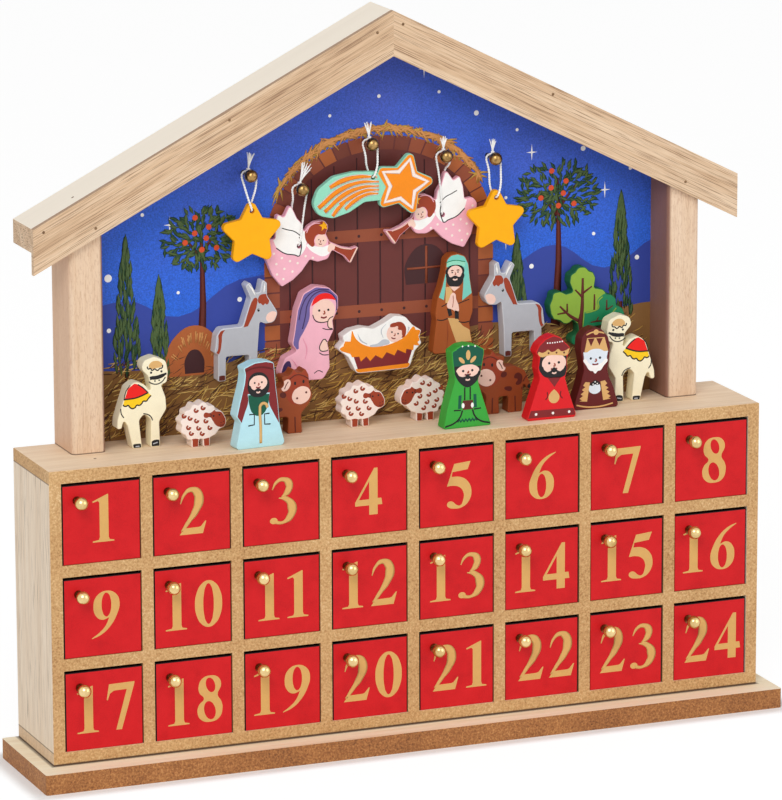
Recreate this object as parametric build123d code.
"""Wooden advent calendar: a case of 24 small drawers on a base plate, with a gabled picture stage on top.

Millimetres. X runs to the right, Y to the back and Z up.
The origin is the middle of the base plate's underside.
Every node is one piece, or a set of like pieces that the same body carries.
"""

import os
from math import cos, radians, sin, tan

from build123d import *

# Drawer case
COLUMNS = 8
ROWS = 3
OPENING_WIDTH = 40.25
OPENING_HEIGHT = 40.6
DIVIDER_THICKNESS = 6.0
SIDE_THICKNESS = 6.0
BOARD_THICKNESS = 6.5
CASE_DEPTH = 54.3
BACK_THICKNESS = 3.0
BOARD_EDGE_ROUND = 0.6

# Base plate
BASE_THICKNESS = 10.0
BASE_SIDE_MARGIN = 8.3
BASE_FRONT_MARGIN = 13.2
BASE_REAR_MARGIN = 1.5
BASE_CORNER_ROUND = 1.2

# Drawers
DRAWER_SIDE_GAP = 0.4
DRAWER_TOP_GAP = 1.2
DRAWER_END_GAP = 1.0
FRONT_RECESS = 0.3
FRONT_THICKNESS = 4.0
FRONT_EDGE_ROUND = 0.5
TRAY_THICKNESS = 3.0
TRAY_HEIGHT = 28.0

# Drawer knobs
KNOB_DIAMETER = 6.6
KNOB_REACH = 7.0
KNOB_NECK_DIAMETER = 2.2
KNOB_FLANGE_DIAMETER = 4.4
KNOB_FLANGE_THICKNESS = 0.8
KNOB_FROM_LEFT = 7.6
KNOB_FROM_TOP = 7.8
SHANK_DIAMETER = 1.8
SHANK_LENGTH = 3.0
SHANK_CLEARANCE = 0.1

# Gable posts and roof
POST_WIDTH = 17.2
POST_DEPTH = 27.0
POST_INSET = 21.3
POST_HEIGHT = 111.3
POST_EDGE_ROUND = 2.6
ROOF_PITCH = 26.87
ROOF_DEPTH = 27.5
ROOF_OVERHANG = 19.2
BEAM_THICKNESS = 10.4
FASCIA_WIDTH = 20.0
FASCIA_THICKNESS = 3.2

# Picture stage
PANEL_THICKNESS = 5.5
SHEET_THICKNESS = 0.5
PEG_BALL_DIAMETER = 6.6
PEG_STEM_DIAMETER = 2.4
PEG_REACH = 10.5
PEG_SEAT_DEPTH = 3.0
PEG_CLEARANCE = 0.1

# Figures
STAGE_FIGURE_THICKNESS = 7.0
SHELF_FIGURE_THICKNESS = 8.0
FIGURE_EDGE_ROUND = 0.5
FIGURE_SOFTNESS = 3.0
SHORT_RUN_SHARE = 0.45
REAR_ROW_GAP = 4.8
MIDDLE_ROW_GAP = 1.0
FRONT_ROW_GAP = 4.2
POST_FIGURE_GAP = 5.5
MAGNET_DIAMETER = 7.0
MAGNET_THICKNESS = 2.0
MAGNET_CLEARANCE = 0.1

# Hanging ornaments and their strings
ORNAMENT_THICKNESS = 3.6
ORNAMENT_LAYER_GAP = 1.1
ORNAMENT_HOLE_DIAMETER = 2.6
STAR_RADIUS = 18.2
STAR_WAIST_RADIUS = 9.6
STAR_HOLE_DEPTH = 6.4
STAR_POINT_ROUND = 2.4
STAR_WAIST_ROUND = 1.0
COMET_STAR_TILT = -15.0
COMET_TAIL_SOFTNESS = 6.0
ANGEL_SOFTNESS = 2.6
ANGEL_LEFT_TILT = 7.2
STRING_DIAMETER = 0.9
STRING_CLEARANCE = 0.3
STRING_LOOP_WIDTH = 7.2
STRING_SPLAY = 0.4
KNOT_DIAMETER = 2.3
TAIL_LENGTH = 5.0
TAIL_SPREAD = 22.0

# Places that follow from the sizes above
case_width = COLUMNS * OPENING_WIDTH + (COLUMNS - 1) * DIVIDER_THICKNESS + 2 * SIDE_THICKNESS
case_height = ROWS * OPENING_HEIGHT + (ROWS - 1) * DIVIDER_THICKNESS + 2 * BOARD_THICKNESS
base_length = case_width + 2 * BASE_SIDE_MARGIN
base_depth = CASE_DEPTH + BASE_FRONT_MARGIN + BASE_REAR_MARGIN
case_front = -base_depth / 2 + BASE_FRONT_MARGIN
case_back = case_front + CASE_DEPTH
case_floor = BASE_THICKNESS + BOARD_THICKNESS
case_ceiling = BASE_THICKNESS + case_height - BOARD_THICKNESS
shelf_top = BASE_THICKNESS + case_height
opening_left = -case_width / 2 + SIDE_THICKNESS
divider_back = case_back - BACK_THICKNESS
divider_middle = (case_front + divider_back) / 2

post_outer = case_width / 2 - POST_INSET
post_inner = post_outer - POST_WIDTH
roof_slope = tan(radians(ROOF_PITCH))
roof_front = case_back - ROOF_DEPTH
beam_drop = BEAM_THICKNESS / cos(radians(ROOF_PITCH))
fascia_drop = FASCIA_WIDTH / cos(radians(ROOF_PITCH))
eave = post_outer + ROOF_OVERHANG

sheet_front = case_back - PANEL_THICKNESS - SHEET_THICKNESS
rear_row_front = sheet_front - STAGE_FIGURE_THICKNESS - REAR_ROW_GAP - SHELF_FIGURE_THICKNESS
middle_row_front = rear_row_front - MIDDLE_ROW_GAP - SHELF_FIGURE_THICKNESS
front_row_front = middle_row_front - FRONT_ROW_GAP - SHELF_FIGURE_THICKNESS

peg_ball_y = sheet_front - PEG_REACH
string_lane = STRING_DIAMETER / 2 + STRING_CLEARANCE
string_seat_y = (sheet_front + peg_ball_y + PEG_BALL_DIAMETER / 2) / 2
rear_layer_back = sheet_front - 2 * string_lane - STRING_CLEARANCE
front_layer_back = rear_layer_back - ORNAMENT_THICKNESS - 2 * string_lane - ORNAMENT_LAYER_GAP

nodes = {}


def block(x0, x1, y0, y1, z0, z1):
    """A board given by its six faces."""
    middle = ((x0 + x1) / 2, (y0 + y1) / 2, (z0 + z1) / 2)
    return Pos(*middle) * Box(x1 - x0, y1 - y0, z1 - z0)


def upright_plate(face, back, thickness):
    """Thickens a face drawn as x and height into a plate whose rear side lies at y = back."""
    return Pos(0, back, 0) * extrude(Plane.XZ * face, amount=thickness)


def corner_radius(before, point, after, wanted):
    """The rounding of one corner: the wanted radius, or less where the two runs beside it are short."""
    into = Vector(*point) - Vector(*before)
    out = Vector(*after) - Vector(*point)
    turn = radians(into.get_angle(out))
    return min(wanted, SHORT_RUN_SHARE * min(into.length, out.length) / tan(turn / 2))


def outline(points, softness):
    """A closed face through points given as x and height, rounded by the softness or a radius of their own."""
    spots = [point[:2] for point in points]
    radii = []
    for index, point in enumerate(points):
        wanted = point[2] if len(point) == 3 else softness
        before, after = spots[index - 1], spots[(index + 1) % len(spots)]
        radii.append(corner_radius(before, spots[index], after, wanted))
    return make_face(FilletPolyline(*spots, radius=radii, close=True).edges())


def flipped(points):
    """The same outline facing the other way."""
    return [(-point[0], *point[1:]) for point in reversed(points)]


def rounded_plate(face, thickness):
    """A plate of the given thickness with softened rims, its rear side at y = 0."""
    plate = upright_plate(face, 0, thickness)
    rims = plate.faces().sort_by(Axis.Y)
    return fillet(rims[0].edges() + rims[-1].edges(), FIGURE_EDGE_ROUND)


def turned_knob(ball_diameter, neck_diameter, reach, seat_depth, seat_diameter):
    """A ball on a stem that points to -Y, with the seat behind y = 0 and the ball's centre at -reach."""
    seat = Pos(0, seat_depth / 2, 0) * Rot(90, 0, 0) * Cylinder(seat_diameter / 2, seat_depth)
    neck = Pos(0, -reach / 2, 0) * Rot(90, 0, 0) * Cylinder(neck_diameter / 2, reach)
    ball = Pos(0, -reach, 0) * Sphere(ball_diameter / 2)
    return neck + ball + seat


def add(name, *solids):
    """Stores the solids of one node."""
    nodes[name] = list(solids)


# Base plate and case
def make_base_plate():
    """The plate that the case stands on, with eased upright corners."""
    half_x, half_y = base_length / 2, base_depth / 2
    plate = block(-half_x, half_x, -half_y, half_y, 0, BASE_THICKNESS)
    return fillet(plate.edges().filter_by(Axis.Z), BASE_CORNER_ROUND)


def make_case():
    """Top and bottom boards over the full width, with the two side panels between them."""
    half = case_width / 2
    bottom = block(-half, half, case_front, case_back, BASE_THICKNESS, case_floor)
    top = block(-half, half, case_front, case_back, case_ceiling, shelf_top)
    top = fillet(top.faces().sort_by(Axis.Z)[-1].edges(), BOARD_EDGE_ROUND)
    side = block(half - SIDE_THICKNESS, half, case_front, case_back, case_floor, case_ceiling)
    return [top, bottom, side, mirror(side, Plane.YZ)]


def column_left(column):
    """The left side of a column's openings."""
    return opening_left + column * (OPENING_WIDTH + DIVIDER_THICKNESS)


def row_floor(row):
    """The floor of a row's openings, with row 0 at the top."""
    return case_ceiling - OPENING_HEIGHT - row * (OPENING_HEIGHT + DIVIDER_THICKNESS)


def make_dividers():
    """Uprights slotted from the back and shelves slotted from the front, lapped into one grid."""
    upright_lefts = [column_left(column) - DIVIDER_THICKNESS for column in range(1, COLUMNS)]
    shelf_tops = [row_floor(row) for row in range(ROWS - 1)]
    boards = []
    for left in upright_lefts:
        upright = block(left, left + DIVIDER_THICKNESS, case_front, divider_back, case_floor, case_ceiling)
        for top in shelf_tops:
            upright -= block(
                left, left + DIVIDER_THICKNESS, divider_middle, divider_back, top - DIVIDER_THICKNESS, top
            )
        boards.append(upright)
    for top in shelf_tops:
        shelf = block(opening_left, -opening_left, case_front, divider_back, top - DIVIDER_THICKNESS, top)
        for left in upright_lefts:
            shelf -= block(
                left, left + DIVIDER_THICKNESS, case_front, divider_middle, top - DIVIDER_THICKNESS, top
            )
        boards.append(shelf)
    return boards


def make_case_back():
    """The thin rear board, let in between the case's four boards."""
    return block(opening_left, -opening_left, divider_back, case_back, case_floor, case_ceiling)


# Drawers
def make_drawer(column, row):
    """A drawer's painted front, its four tray boards and its knob."""
    left = column_left(column) + DRAWER_SIDE_GAP
    right = column_left(column) + OPENING_WIDTH - DRAWER_SIDE_GAP
    floor = row_floor(row)
    top = floor + OPENING_HEIGHT - DRAWER_TOP_GAP
    face = case_front + FRONT_RECESS
    inner = face + FRONT_THICKNESS
    end = divider_back - DRAWER_END_GAP
    rim = floor + TRAY_HEIGHT
    knob_place = Pos(left + KNOB_FROM_LEFT, face, top - KNOB_FROM_TOP)

    front = block(left, right, face, inner, floor, top)
    front = fillet(front.faces().sort_by(Axis.Y)[0].edges(), FRONT_EDGE_ROUND)
    hole_radius = SHANK_DIAMETER / 2 + SHANK_CLEARANCE
    hole_depth = SHANK_LENGTH + SHANK_CLEARANCE
    front -= knob_place * Pos(0, hole_depth / 2, 0) * Rot(90, 0, 0) * Cylinder(hole_radius, hole_depth)

    knob = turned_knob(KNOB_DIAMETER, KNOB_NECK_DIAMETER, KNOB_REACH, SHANK_LENGTH, SHANK_DIAMETER)
    flange = Cylinder(KNOB_FLANGE_DIAMETER / 2, KNOB_FLANGE_THICKNESS)
    knob += Pos(0, -KNOB_FLANGE_THICKNESS / 2, 0) * Rot(90, 0, 0) * flange

    bottom = block(left, right, inner, end, floor, floor + TRAY_THICKNESS)
    back = block(left, right, end - TRAY_THICKNESS, end, floor + TRAY_THICKNESS, rim)
    side_end = end - TRAY_THICKNESS
    left_side = block(left, left + TRAY_THICKNESS, inner, side_end, floor + TRAY_THICKNESS, rim)
    right_side = block(right - TRAY_THICKNESS, right, inner, side_end, floor + TRAY_THICKNESS, rim)
    return [front, bottom, back, left_side, right_side, knob_place * knob]


# Posts, roof and picture panel
def roof_underside(x):
    """The height of the beams' underside at x."""
    return shelf_top + POST_HEIGHT + (post_outer - abs(x)) * roof_slope


def make_post():
    """The right post, cut to the roof's slope, with rounded front edges."""
    corners = [
        (post_inner, shelf_top),
        (post_outer, shelf_top),
        (post_outer, roof_underside(post_outer)),
        (post_inner, roof_underside(post_inner)),
    ]
    post = upright_plate(make_face(Polyline(*corners, close=True)), case_back, POST_DEPTH)
    front_edges = post.faces().sort_by(Axis.Y)[0].edges().filter_by(Axis.Z)
    return fillet(front_edges, POST_EDGE_ROUND)


def make_rafter(drop, back, thickness):
    """A sloping board of the right roof half, flush with the roof's top and mitred at the ridge."""
    ridge = roof_underside(0) + beam_drop
    foot = roof_underside(eave) + beam_drop
    corners = [(0, ridge), (eave, foot), (eave, foot - drop), (0, ridge - drop)]
    return upright_plate(make_face(Polyline(*corners, close=True)), back, thickness)


def make_gable_plate(back, thickness, hole_diameter):
    """A five-sided plate between the posts and under the beams, bored for the pegs."""
    corners = [
        (-post_inner, shelf_top),
        (post_inner, shelf_top),
        (post_inner, roof_underside(post_inner)),
        (0, roof_underside(0)),
        (-post_inner, roof_underside(post_inner)),
    ]
    plate = upright_plate(make_face(Polyline(*corners, close=True)), back, thickness)
    bore_end = sheet_front + PEG_SEAT_DEPTH + PEG_CLEARANCE
    for x, rise in PEGS.values():
        bore = Cylinder(hole_diameter / 2, 2 * (bore_end - sheet_front))
        plate -= Pos(x, sheet_front, shelf_top + rise) * Rot(90, 0, 0) * bore
    return plate


# Places of the pegs across the panel and above the shelf, by the ornament that each one holds
PEGS = {
    "star_left": (-69.4, 128.4),
    "angel_left": (-42.6, 119.6),
    "comet": (-5.8, 139.5),
    "angel_right": (33.6, 130.6),
    "star_right": (60.0, 127.4),
}

# Outlines of the cut-out figures, as x from the middle and height above the feet
CAMEL = [
    (-4.9, 0, 0.8), (-0.2, 0, 0.8), (-1.6, 14.0, 3), (1.2, 17.2, 3), (4.6, 14.0, 3), (4.2, 0, 0.8),
    (9.2, 0, 0.8), (8.8, 12.6), (12.6, 18.6), (12.2, 24.4), (9.9, 30.8, 1.2), (13.0, 31.6), (13.6, 37.0),
    (12.6, 42.6), (6.6, 45.0), (1.2, 43.4), (0.0, 39.4), (3.6, 35.4), (5.2, 26.6, 1.0), (1.4, 31.6),
    (-3.2, 33.4), (-7.4, 30.6), (-10.2, 22.4), (-12.6, 15.0), (-12.9, 10.4, 0.9), (-10.6, 10.6, 0.9),
    (-9.4, 15.0, 0.9), (-7.4, 11.6),
]
SHEPHERD = [
    (-13.6, 0, 1.6), (13.0, 0, 2.0), (10.0, 11.0), (9.2, 21.0), (8.2, 29.0), (7.6, 36.0), (7.0, 41.8, 1.4),
    (2.8, 42.8), (-3.2, 42.6), (-9.2, 40.4, 1.2), (-8.4, 37.0), (-9.0, 32.6), (-11.6, 23.2), (-13.2, 16.6, 1.6),
    (-10.8, 13.0, 0.8),
]
KING_CROWNED = [
    (-12.8, 0, 1.0), (13.0, 0, 1.0), (9.6, 10.8), (6.4, 20.6), (5.8, 23.6), (7.4, 28.0), (9.0, 36.4),
    (9.0, 38.8, 1.0), (5.4, 41.0), (0.4, 42.0), (-4.0, 41.4), (-8.4, 38.8, 1.0), (-7.8, 31.4), (-6.6, 24.6),
    (-7.4, 21.6), (-10.6, 11.0),
]
KING_TURBANED = [
    (-14.0, 0, 1.2), (13.4, 0, 1.6), (8.6, 14.2), (6.8, 20.4), (8.0, 25.0), (7.8, 30.0, 1.2), (9.6, 35.6, 1.6),
    (6.8, 38.4), (4.0, 41.4), (0.4, 42.6), (-4.0, 41.0), (-7.4, 38.0), (-9.2, 34.6, 1.4), (-7.2, 31.6, 1.2),
    (-8.0, 26.0), (-6.8, 21.0), (-9.4, 13.4),
]
KING_HOODED = [
    (-12.4, 0, 1.6), (12.6, 0, 1.6), (9.4, 10.8), (6.8, 16.4), (6.2, 20.0), (7.2, 26.0), (7.6, 31.0),
    (6.4, 36.4), (3.0, 40.4), (-1.0, 41.6), (-5.4, 40.2), (-8.2, 36.6), (-8.6, 30.0), (-7.4, 24.6),
    (-6.8, 20.0), (-8.8, 12.4), (-11.2, 5.6),
]
COW = [
    (-9.8, 0, 0.8), (-2.2, 0, 0.8), (-2.6, 8.6, 1.4), (2.8, 8.6, 1.4), (2.4, 0, 0.8), (10.0, 0, 0.8),
    (9.6, 10.0), (13.4, 13.8), (15.6, 18.0), (14.0, 24.0), (13.6, 29.0), (11.6, 32.6, 0.9),
    (9.8, 30.4, 0.9), (7.4, 30.4, 0.9), (5.8, 32.9, 0.9), (3.9, 29.2), (-0.9, 29.4, 1.2), (1.0, 23.6),
    (-6.0, 23.6), (-11.4, 21.0), (-13.8, 15.4), (-15.4, 11.6, 0.9), (-13.0, 11.2, 0.9), (-10.6, 15.0, 0.9),
]
DONKEY = [
    (-15.4, 0, 0.8), (-11.4, 0, 0.8), (-11.2, 12.2, 1.2), (1.0, 12.2, 1.2), (1.2, 0, 0.8), (5.0, 0, 0.8),
    (5.4, 14.0), (6.6, 28.6, 1.2), (9.4, 27.0), (14.2, 27.4), (16.2, 32.0), (13.2, 37.0), (10.6, 41.0),
    (10.6, 47.4, 1.2), (8.2, 49.4, 1.2), (6.9, 43.0, 0.9), (4.6, 43.0, 0.9), (1.6, 48.8, 1.2),
    (-0.6, 46.6, 1.2), (2.2, 40.0), (-2.4, 26.6, 1.4), (-13.6, 26.4), (-15.9, 23.0), (-17.0, 14.4, 0.9),
    (-15.2, 13.4, 0.9),
]
KNEELING_WOMAN = [
    (-14.8, 0.2), (6.2, 0), (9.8, 5.6), (9.4, 14.6), (8.6, 18.0, 1.0), (12.0, 24.6), (11.4, 29.2, 1.2),
    (14.4, 35.2), (14.4, 41.4), (9.6, 46.0), (2.6, 47.2), (-4.0, 44.0), (-7.2, 36.0), (-8.8, 25.4),
    (-10.0, 18.8), (-7.4, 15.2, 1.2), (-13.8, 12.4), (-16.6, 5.0),
]
MANGER = [
    (-12.6, 0), (15.6, 0.4), (18.6, 9.0, 1.0), (22.2, 12.6, 1.0), (21.0, 15.6, 0.9), (22.0, 19.2, 1.0),
    (17.4, 22.2), (13.4, 26.8), (7.6, 27.6), (2.4, 24.6), (-3.4, 22.0), (-9.0, 23.2), (-15.6, 22.2),
    (-20.0, 19.6, 1.0), (-19.2, 16.4, 0.9), (-22.4, 13.2, 1.0), (-16.8, 8.6, 1.0),
]
STANDING_MAN = [
    (-11.0, 0, 1.6), (11.2, 0, 1.6), (9.4, 10.0), (8.8, 15.0, 1.4), (10.6, 20.0), (10.6, 28.0), (9.2, 37.0),
    (8.4, 44.6), (6.4, 48.8), (2.6, 50.2), (-1.2, 49.8), (-3.6, 47.6), (-4.4, 41.0), (-6.2, 34.0), (-8.4, 28.0),
    (-9.6, 20.0), (-9.0, 16.6, 1.4), (-9.8, 10.6),
]
ANGEL = [
    (-18.2, 2.0, 0.8), (-24.0, 10.2, 0.8), (-19.6, 9.8), (-14.8, 11.6), (-8.8, 15.4, 0.8), (-7.4, 19.6, 0.8),
    (-9.4, 23.2), (-7.4, 26.8), (-2.4, 26.8), (1.4, 25.2), (3.6, 22.6, 1.0), (4.4, 27.6), (6.4, 30.4),
    (9.0, 38.4, 1.2), (13.2, 32.4, 0.9), (16.4, 34.8, 1.2), (18.4, 29.0), (19.2, 22.6, 1.0), (23.6, 23.2),
    (26.0, 20.0), (25.4, 13.6), (22.8, 4.4), (18.8, -2.0, 1.2), (12.4, 0.4), (7.6, 3.6), (2.6, 8.6, 1.0),
    (-1.4, 6.6), (-6.8, 7.0), (-9.6, 11.0, 0.9), (-15.4, 6.6),
]
COMET_TAIL = [
    (-6.0, 6.6), (-15.6, 7.6), (-26.4, 8.2), (-37.0, 6.6), (-45.0, 0.8), (-48.0, -6.4), (-44.8, -12.4),
    (-37.2, -14.2), (-28.6, -11.8), (-20.6, -7.2), (-12.0, -7.0), (-6.0, -6.0),
]
SHEEP = [
    (-6.0, 0, 0.8), (-2.4, 0, 0.8), (-2.2, 4.0, 0.8), (-0.2, 4.0, 0.8), (0.0, 0, 0.8), (3.4, 0, 0.8),
    (3.4, 4.4, 0.8), (6.4, 5.6), (8.4, 8.2, 0.8), (11.8, 9.4), (12.0, 13.0), (9.8, 17.2), (6.6, 17.6, 0.8),
    (5.8, 20.4), (3.2, 20.0, 0.8), (0.6, 22.8), (-2.2, 20.8, 0.8), (-5.0, 21.8), (-6.4, 19.2, 0.8),
    (-9.6, 18.4), (-9.6, 15.6, 0.8), (-12.0, 13.6), (-10.8, 11.2, 0.8), (-11.8, 8.0), (-9.0, 6.6, 0.8),
    (-8.0, 4.0), (-6.0, 4.2, 0.8),
]
TREE = [
    (-9.0, 0), (6.4, 0), (7.0, 4.2), (-0.8, 5.4, 1.0), (-1.6, 8.4, 1.0), (4.6, 8.6), (12.0, 9.2, 0.9),
    (18.0, 9.6), (20.6, 13.2), (19.0, 17.0), (15.8, 18.6, 0.9), (15.4, 22.0), (13.0, 24.4), (10.6, 24.6, 0.9),
    (8.4, 27.4), (3.4, 28.6, 0.9), (4.2, 33.6), (2.8, 36.8), (0.6, 37.4, 0.9), (-1.6, 39.8), (-5.4, 39.8),
    (-7.2, 37.4, 0.9), (-9.6, 36.2), (-10.2, 32.2), (-8.2, 27.4, 0.9), (-12.0, 26.6, 0.9), (-15.0, 28.2),
    (-19.2, 27.8), (-19.8, 24.6, 0.9), (-21.2, 21.4), (-20.4, 17.0), (-18.8, 14.0, 0.9), (-15.4, 13.2),
    (-13.2, 11.2), (-10.4, 11.2), (-8.4, 13.0, 0.9), (-5.6, 10.4, 1.2), (-5.2, 6.0, 1.0), (-9.4, 4.4),
]


# Figures on the sheet: outline, x, rise of the feet above the shelf, and height of the magnet above the feet
STAGE_FIGURES = {
    "donkey_left": (DONKEY, -70.8, 26.4, 20.0),
    "kneeling_mother": (KNEELING_WOMAN, -37.2, 22.8, 12.0),
    "manger": (MANGER, -0.6, 24.0, 12.0),
    "standing_father": (STANDING_MAN, 38.6, 30.2, 24.0),
    "donkey_right": (flipped(DONKEY), 71.4, 25.6, 20.0),
    "tree": (TREE, 112.0, 28.4, 20.0),
}

# Figures on the shelf: outline, x, front of the row, and turn about the upright
camel_x = post_inner - POST_FIGURE_GAP - max(point[0] for point in CAMEL)
SHELF_FIGURES = {
    "camel_left": (CAMEL, -camel_x, rear_row_front, 0.0),
    "cow_left": (COW, -57.2, rear_row_front, 0.0),
    "sheep_2": (SHEEP, -15.2, rear_row_front, 0.0),
    "sheep_3": (flipped(SHEEP), 16.8, rear_row_front, 0.0),
    "cow_right": (flipped(COW), 60.6, rear_row_front, 0.0),
    "camel_right": (flipped(CAMEL), camel_x, rear_row_front, 0.0),
    "sheep_1": (SHEEP, -102.2, middle_row_front, 0.0),
    "king_hooded": (KING_HOODED, 107.0, middle_row_front, 0.0),
    "shepherd": (SHEPHERD, -76.6, front_row_front, 4.5),
    "king_crowned": (KING_CROWNED, 32.0, front_row_front, 1.5),
    "king_turbaned": (KING_TURBANED, 77.8, front_row_front, 0.0),
}

# Strings: drop of the eye below the peg, height of the eye in its outline, and climb from the eye past the rim
STAR_EYE = STAR_RADIUS - STAR_HOLE_DEPTH
STRINGS = {
    "star_left": (17.1, STAR_EYE, 5.6),
    "star_right": (19.3, STAR_EYE, 5.6),
    "comet": (16.3, 4.8, 5.6),
    "angel_left": (29.0, 15.5, 19.0),
    "angel_right": (30.2, 15.5, 22.4),
}


# Figures
def stage_figure(face, magnet_height):
    """A figure that clings to the picture sheet by a magnet let into its back."""
    plate = rounded_plate(face, STAGE_FIGURE_THICKNESS)
    magnet_x = face.center(CenterOf.MASS).X
    pocket_depth = MAGNET_THICKNESS + MAGNET_CLEARANCE
    pocket = Cylinder(MAGNET_DIAMETER / 2 + MAGNET_CLEARANCE, pocket_depth)
    magnet = Cylinder(MAGNET_DIAMETER / 2, MAGNET_THICKNESS)
    plate -= Pos(magnet_x, -pocket_depth / 2, magnet_height) * Rot(90, 0, 0) * pocket
    return [plate, Pos(magnet_x, -MAGNET_THICKNESS / 2, magnet_height) * Rot(90, 0, 0) * magnet]


def place_stage_figure(name, face, x, rise, magnet_height):
    """Puts a figure on the picture sheet, with its feet at a rise above the shelf."""
    place = Pos(x, sheet_front, shelf_top + rise)
    add(name, *[place * solid for solid in stage_figure(face, magnet_height)])


def place_shelf_figure(name, face, x, row_front, turn):
    """Stands a figure on the shelf, the middle of its front on the row's line, turned about its upright."""
    plate = Pos(0, SHELF_FIGURE_THICKNESS, 0) * rounded_plate(face, SHELF_FIGURE_THICKNESS)
    add(name, Pos(x, row_front, shelf_top) * Rot(0, 0, turn) * plate)


def make_figures():
    """All the figures on the sheet and on the shelf."""
    for name, (points, x, rise, magnet_height) in STAGE_FIGURES.items():
        place_stage_figure(name, outline(points, FIGURE_SOFTNESS), x, rise, magnet_height)
    for name, (points, x, row_front, turn) in SHELF_FIGURES.items():
        place_shelf_figure(name, outline(points, FIGURE_SOFTNESS), x, row_front, turn)


# Ornaments
def star_points(radius, waist, tilt):
    """The ten corners of a five-pointed star, with its first point turned from the upright by tilt."""
    corners = []
    for index in range(10):
        reach, rounding = (radius, STAR_POINT_ROUND) if index % 2 == 0 else (waist, STAR_WAIST_ROUND)
        angle = radians(90 + tilt + 36 * index)
        corners.append((reach * cos(angle), reach * sin(angle), rounding))
    return corners


def star_face():
    """The plain hanging star."""
    return outline(star_points(STAR_RADIUS, STAR_WAIST_RADIUS, 0), 0)


def comet_face():
    """A star with a broad curved tail."""
    star = outline(star_points(STAR_RADIUS, STAR_WAIST_RADIUS, COMET_STAR_TILT), 0)
    return (star + outline(COMET_TAIL, COMET_TAIL_SOFTNESS)).face()


def angel_face(points, tilt):
    """A flying angel with a trumpet, tilted in its own plane."""
    return Rot(0, 0, tilt) * outline(points, ANGEL_SOFTNESS)


def string_route(peg, hole, front, back, clear_height):
    """The way of a string from its eye, up in front of the ornament, over the peg and down behind it."""
    peg_x, peg_z = peg
    hole_x, hole_z = hole
    middle = (front + back) / 2
    front_lane, back_lane = front - string_lane, back + string_lane
    half_loop = STRING_LOOP_WIDTH / 2
    crown = peg_z + PEG_STEM_DIAMETER / 2 + string_lane
    shoulder = crown - STRING_LOOP_WIDTH
    above = hole_z + clear_height
    return [
        (hole_x, middle - STRING_CLEARANCE / 2, hole_z),
        (hole_x, front_lane, hole_z),
        (hole_x - STRING_SPLAY, front_lane, above),
        (peg_x - half_loop, string_seat_y, shoulder),
        (peg_x - half_loop, string_seat_y, crown),
        (peg_x + half_loop, string_seat_y, crown),
        (peg_x + half_loop, string_seat_y, shoulder),
        (hole_x + STRING_SPLAY, back_lane, above),
        (hole_x, back_lane, hole_z),
        (hole_x, middle + STRING_CLEARANCE / 2, hole_z),
    ]


def make_string(route, peg):
    """A thin tube along the route, with the knot over the peg and its two short tails."""
    radii = []
    for before, point, after in zip(route, route[1:], route[2:]):
        radii.append(corner_radius(before, point, after, STRING_LOOP_WIDTH))
    path = FilletPolyline(*route, radius=radii)
    start = Plane(origin=path @ 0, z_dir=path % 0)
    tube = sweep(start * Circle(STRING_DIAMETER / 2), path=path)
    print("string radii", [round(radius, 2) for radius in radii], "length", round(path.length, 1))

    peg_x, peg_z = peg
    knot_z = peg_z + PEG_STEM_DIAMETER / 2 + string_lane + KNOT_DIAMETER / 4
    knot = Pos(peg_x, string_seat_y, knot_z)
    tail = Pos(0, 0, TAIL_LENGTH / 2) * Cylinder(STRING_DIAMETER / 2, TAIL_LENGTH)
    tube += knot * Sphere(KNOT_DIAMETER / 2)
    for lean in (-TAIL_SPREAD, TAIL_SPREAD / 2):
        tube += knot * Rot(0, lean, 0) * tail
    return tube


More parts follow.
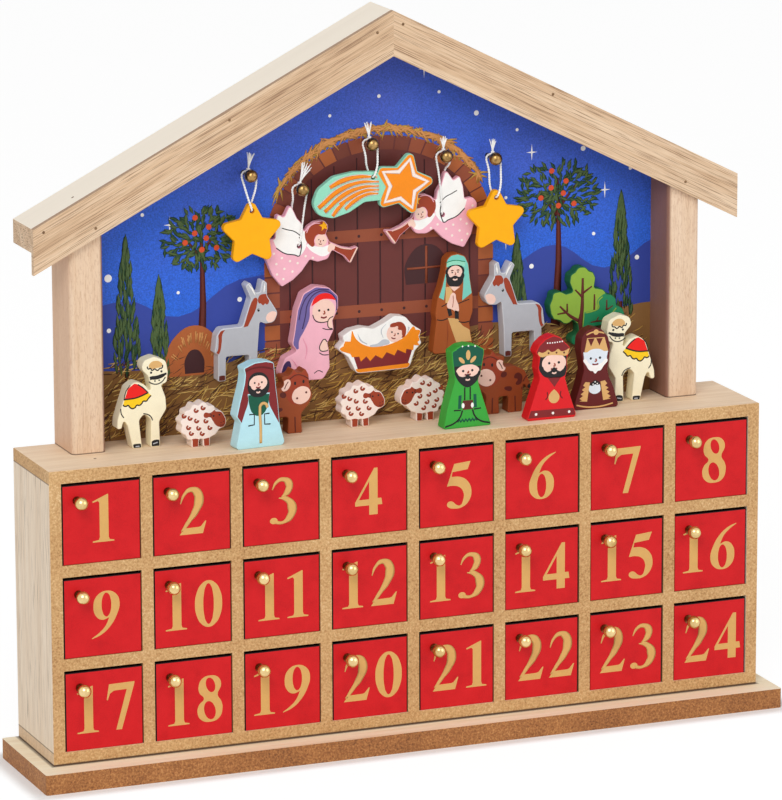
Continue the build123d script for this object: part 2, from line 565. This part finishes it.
def hang(name, face, back):
    """Hangs an ornament plumb under its peg, with its eye a drop below the peg, and strings it up."""
    peg_x, rise = PEGS[name]
    drop, hole_height, clear_height = STRINGS[name]
    peg_z = shelf_top + rise
    plumb = face.center(CenterOf.MASS).X
    place = Pos(peg_x - plumb, back, peg_z - drop - hole_height)
    eye = Cylinder(ORNAMENT_HOLE_DIAMETER / 2, 2 * ORNAMENT_THICKNESS)
    pierced = rounded_plate(face, ORNAMENT_THICKNESS)
    pierced -= Pos(plumb, -ORNAMENT_THICKNESS / 2, hole_height) * Rot(90, 0, 0) * eye
    add(name, place * pierced)
    front = back - ORNAMENT_THICKNESS
    route = string_route((peg_x, peg_z), (peg_x, peg_z - drop), front, back, clear_height)
    add(name + "_string", make_string(route, (peg_x, peg_z)))


def make_ornaments():
    """Two angels close to the sheet, and two stars and a comet in front of them."""
    hang("star_left", star_face(), front_layer_back)
    hang("star_right", star_face(), front_layer_back)
    hang("comet", comet_face(), front_layer_back)
    hang("angel_left", angel_face(flipped(ANGEL), ANGEL_LEFT_TILT), rear_layer_back)
    hang("angel_right", angel_face(ANGEL, 0), rear_layer_back)


def make_pegs():
    """Five brass ball pegs set through the sheet into the panel."""
    peg = turned_knob(PEG_BALL_DIAMETER, PEG_STEM_DIAMETER, PEG_REACH, PEG_SEAT_DEPTH, PEG_STEM_DIAMETER)
    return [Pos(x, sheet_front, shelf_top + rise) * peg for x, rise in PEGS.values()]


def build():
    """Makes every node."""
    add("base_plate", make_base_plate())
    add("cabinet_case", *make_case())
    add("drawer_dividers", *make_dividers())
    add("cabinet_back", make_case_back())
    for row in range(ROWS):
        for column in range(COLUMNS):
            add(f"drawer_{row * COLUMNS + column + 1:02d}", *make_drawer(column, row))

    post = make_post()
    add("gable_posts", post, mirror(post, Plane.YZ))
    beam = make_rafter(beam_drop, case_back, ROOF_DEPTH)
    fascia = make_rafter(fascia_drop, roof_front, FASCIA_THICKNESS)
    add("roof_boards", beam, mirror(beam, Plane.YZ), fascia, mirror(fascia, Plane.YZ))
    peg_bore = PEG_STEM_DIAMETER + 2 * PEG_CLEARANCE
    add("picture_panel", make_gable_plate(case_back, PANEL_THICKNESS, peg_bore))
    add("picture_sheet", make_gable_plate(case_back - PANEL_THICKNESS, SHEET_THICKNESS, peg_bore))
    add("hook_pegs", *make_pegs())
    make_figures()
    make_ornaments()


def write():
    """Writes one STEP file for each node."""
    os.makedirs("parts", exist_ok=True)
    for name, solids in nodes.items():
        flat = [solid for shape in solids for solid in shape.solids()]
        export_step(flat[0] if len(flat) == 1 else Compound(children=flat), f"parts/{name}.step")


build()
write()
